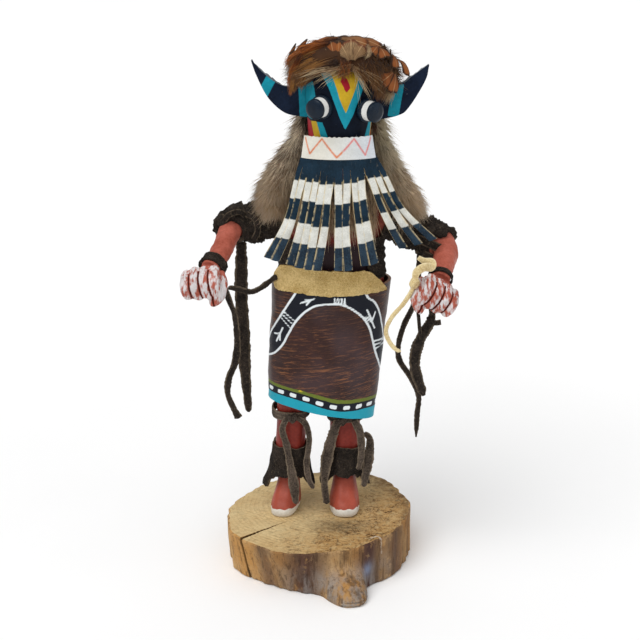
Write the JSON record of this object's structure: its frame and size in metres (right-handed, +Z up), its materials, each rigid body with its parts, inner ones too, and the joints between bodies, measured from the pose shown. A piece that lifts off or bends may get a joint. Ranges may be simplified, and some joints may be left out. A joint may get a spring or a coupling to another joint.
{
  "type": "kachina doll",
  "caption": "Carved and painted wooden kachina doll in leather, fur and feathers, with horned mask and slit leather beard, standing on a slice of log.",
  "frame": {"origin": "middle of the flat underside of the log slice", "axes": "+Z up, the figure faces -Y, +X towards the doll's left hand"},
  "size_m": [0.1506, 0.1145, 0.3047],
  "materials": {
    "log": "sawn end grain and smooth sapwood, raw, stained in patches",
    "painted_wood": "brick red paint, satin",
    "kilt_leather": "stiff dark brown leather, painted bands, semi-gloss",
    "belt_suede": "tan suede",
    "dark_suede": "dark brown suede, pale cut edges",
    "mask_paint": "navy black paint with turquoise, yellow and crimson shapes, satin",
    "horn_paint": "navy paint with a turquoise band",
    "eye_paint": "navy cap, white ring",
    "band_leather": "white paint with a zigzag line",
    "beard_leather": "navy and white painted rows, cream cut edges",
    "fur": "grey-brown rabbit fur",
    "feather": "brown and orange pheasant feathers",
    "pale_lace": "pale tan leather lace"
  },
  "bodies": {
    "root": {"log_base": "log", "doll_body": "painted_wood", "kilt": "kilt_leather", "belt": "belt_suede", "head": "mask_paint", "right_eye": "eye_paint", "left_eye": "eye_paint", "right_horn": "horn_paint", "left_horn": "horn_paint", "mouth_band": "band_leather", "beard": "beard_leather", "right_arm": "painted_wood", "left_arm": "painted_wood", "right_arm_wrap": "dark_suede", "left_arm_wrap": "dark_suede", "right_wrist_wrap": "dark_suede", "left_wrist_wrap": "dark_suede", "right_side_strap": "dark_suede", "left_side_strap": "dark_suede", "fur_collar": "fur", "feather_crown": "feather", "right_legging": "dark_suede", "left_legging": "dark_suede", "right_knee_tie": "dark_suede", "left_knee_tie": "dark_suede", "right_elbow_strip": "dark_suede", "right_hand_thong": "dark_suede", "waist_thong": "dark_suede", "left_elbow_strip": "dark_suede", "left_hand_strap": "dark_suede", "left_hand_lace": "pale_lace"}
  },
  "joints": []
}
